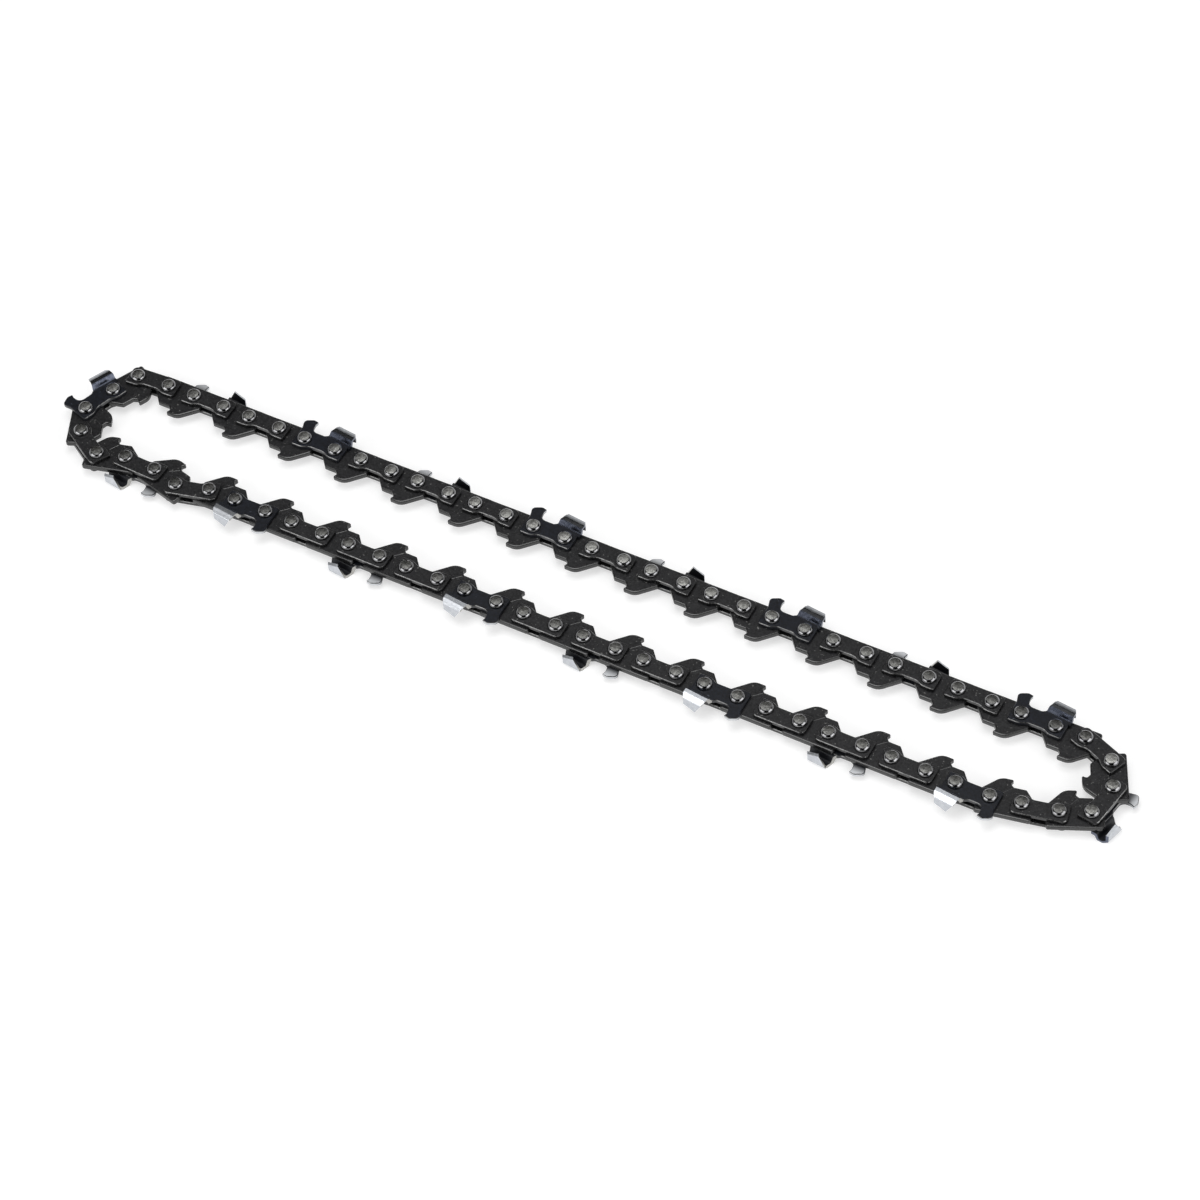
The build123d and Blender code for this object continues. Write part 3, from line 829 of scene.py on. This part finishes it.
def shown_to_eye(tree):
    """1 for rays from the camera, mirrored rays and rays through glass, else 0."""
    path = node(tree, "ShaderNodeLightPath").outputs
    first = node(tree, "ShaderNodeMath", {"operation": "MAXIMUM"},
                 {0: path["Is Camera Ray"], 1: path["Is Glossy Ray"]})
    return node(tree, "ShaderNodeMath", {"operation": "MAXIMUM"},
                {0: first.outputs["Value"], 1: path["Is Transmission Ray"]}).outputs["Value"]


def lay_floor():
    """White paper under the chain, lifted to white for the eye but not for the chain's light."""
    mesh = bpy.data.meshes.new("paper_floor")
    mesh.from_pydata([(-FLOOR_REACH, -FLOOR_REACH, 0), (FLOOR_REACH, -FLOOR_REACH, 0),
                      (FLOOR_REACH, FLOOR_REACH, 0), (-FLOOR_REACH, FLOOR_REACH, 0)], [], [(0, 1, 2, 3)])
    floor = bpy.data.objects.new("paper_floor", mesh)
    bpy.context.scene.collection.objects.link(floor)
    material, tree, surface, _ = finish("white_paper")
    surface.inputs["Base Color"].default_value = linear("#c4c4c4")
    surface.inputs["Roughness"].default_value = 0.9
    surface.inputs["Specular IOR Level"].default_value = 0.1
    surface.inputs["Emission Color"].default_value = linear("#ffffff")
    lift = node(tree, "ShaderNodeMath", {"operation": "MULTIPLY"}, {0: shown_to_eye(tree), 1: FLOOR_LIFT})
    tree.links.new(lift.outputs["Value"], surface.inputs["Emission Strength"])
    mesh.materials.append(material)


def screen_height(elevation):
    """Height on the screen that is seen from the chain at this elevation."""
    return SCREEN_RADIUS * math.tan(math.radians(elevation))


def hang_grey_screen():
    """A glowing ring round the table that only shows in the metal, as painted reflections: black half way up,
    light above and below.

    Behind the camera it is black from top to bottom, like a curtain. High up it is grey with one white panel.
    """
    work = bmesh.new()
    bmesh.ops.create_cone(work, cap_ends=False, segments=SCREEN_SIDES, radius1=SCREEN_RADIUS,
                          radius2=SCREEN_RADIUS, depth=SCREEN_TOP)
    mesh = bpy.data.meshes.new("grey_screen")
    work.to_mesh(mesh)
    work.free()
    mesh.transform(Matrix.Translation((0, 0, SCREEN_TOP / 2)))
    screen = bpy.data.objects.new("grey_screen", mesh)
    bpy.context.scene.collection.objects.link(screen)
    material, tree, surface, coordinates = finish("glow_for_reflections_only")
    height = node(tree, "ShaderNodeSeparateXYZ", None, {"Vector": coordinates}).outputs["Z"]

    def brightness_round(azimuth, reach, edge, there, elsewhere):
        """One brightness this far to each side of an azimuth, and another past a soft edge."""
        way = Vector((math.cos(azimuth), math.sin(azimuth), 0)) / SCREEN_RADIUS
        facing = node(tree, "ShaderNodeVectorMath", {"operation": "DOT_PRODUCT"}, {0: coordinates, 1: way})
        share = node(tree, "ShaderNodeMapRange", None,
                     {"Value": facing.outputs["Value"], "From Min": math.cos(math.radians(reach + edge)),
                      "From Max": math.cos(math.radians(reach)), "To Min": elsewhere, "To Max": there})
        return share.outputs["Result"]

    behind_camera = math.atan2(CAMERA_PLACE.y, CAMERA_PLACE.x)
    curtain = brightness_round(behind_camera, CURTAIN_REACH, CURTAIN_EDGE, 0.0, 1.0)
    panel = brightness_round(math.radians(PANEL_AZIMUTH), PANEL_REACH, PANEL_EDGE, 1.0, BESIDE_PANEL)
    below = node(tree, "ShaderNodeMath", {"operation": "LESS_THAN"},
                 {0: height, 1: screen_height(PANEL_FLOOR)})
    upper = node(tree, "ShaderNodeMath", {"operation": "MAXIMUM"}, {0: panel, 1: below.outputs["Value"]})
    strength = node(tree, "ShaderNodeMath", {"operation": "MULTIPLY"},
                    {0: curtain, 1: upper.outputs["Value"]})
    share = node(tree, "ShaderNodeMath", {"operation": "DIVIDE"}, {0: height, 1: SCREEN_TOP})
    ramp = node(tree, "ShaderNodeValToRGB", None, {"Fac": share.outputs["Value"]})
    while len(ramp.color_ramp.elements) < len(SCREEN_SHADES):
        ramp.color_ramp.elements.new(0.5)   # the loop below sets its place
    for stop, (elevation, shade) in zip(ramp.color_ramp.elements, SCREEN_SHADES):
        stop.position = screen_height(elevation) / SCREEN_TOP
        stop.color = (shade, shade, shade, 1)
    surface.inputs["Base Color"].default_value = linear("#000000")
    surface.inputs["Roughness"].default_value = 1.0
    surface.inputs["Specular IOR Level"].default_value = 0.0
    tree.links.new(ramp.outputs["Color"], surface.inputs["Emission Color"])
    tree.links.new(strength.outputs["Value"], surface.inputs["Emission Strength"])
    mesh.materials.append(material)
    for rays in ("camera", "diffuse", "transmission", "volume_scatter", "shadow"):
        setattr(screen, f"visible_{rays}", False)


def light_world():
    """A white surround for the eye, and a softer grey one for the light that falls on the chain."""
    world = bpy.data.worlds.new("studio")
    world.use_nodes = True
    tree = world.node_tree
    strength = node(tree, "ShaderNodeMapRange", None,
                    {"Value": shown_to_eye(tree), "To Min": FILL_LIGHT, "To Max": 1.0})
    background = tree.nodes["Background"]
    background.inputs["Color"].default_value = linear("#ffffff")
    tree.links.new(strength.outputs["Result"], background.inputs["Strength"])
    bpy.context.scene.world = world


def softbox(name, place, size, power):
    """A rectangular lamp that faces the chain."""
    lamp = bpy.data.lights.new(name, "AREA")
    lamp.shape = "RECTANGLE"
    lamp.size, lamp.size_y = size
    lamp.energy = power
    made = bpy.data.objects.new(name, lamp)
    made.location = place
    made.rotation_euler = (-Vector(place)).to_track_quat("-Z", "Y").to_euler()
    made.visible_camera = False
    bpy.context.scene.collection.objects.link(made)


def set_camera():
    """The camera, where the photograph was taken from."""
    camera = bpy.data.cameras.new("camera")
    camera.lens = CAMERA_LENS
    camera.sensor_width = CAMERA_SENSOR
    made = bpy.data.objects.new("camera", camera)
    heading, dip = math.radians(CAMERA_HEADING), math.radians(CAMERA_DIP)
    view = Vector((math.cos(heading) * math.cos(dip), math.sin(heading) * math.cos(dip), -math.sin(dip)))
    turn = view.to_track_quat("-Z", "Y").to_matrix() @ Matrix.Rotation(math.radians(CAMERA_ROLL), 3, "Z")
    made.matrix_world = Matrix.Translation(CAMERA_PLACE) @ turn.to_4x4()
    bpy.context.scene.collection.objects.link(made)
    bpy.context.scene.camera = made


lay_floor()
hang_grey_screen()
light_world()
for lamp in SOFTBOXES:
    softbox(*lamp)
set_camera()
bpy.context.scene.view_settings.view_transform = "Standard"
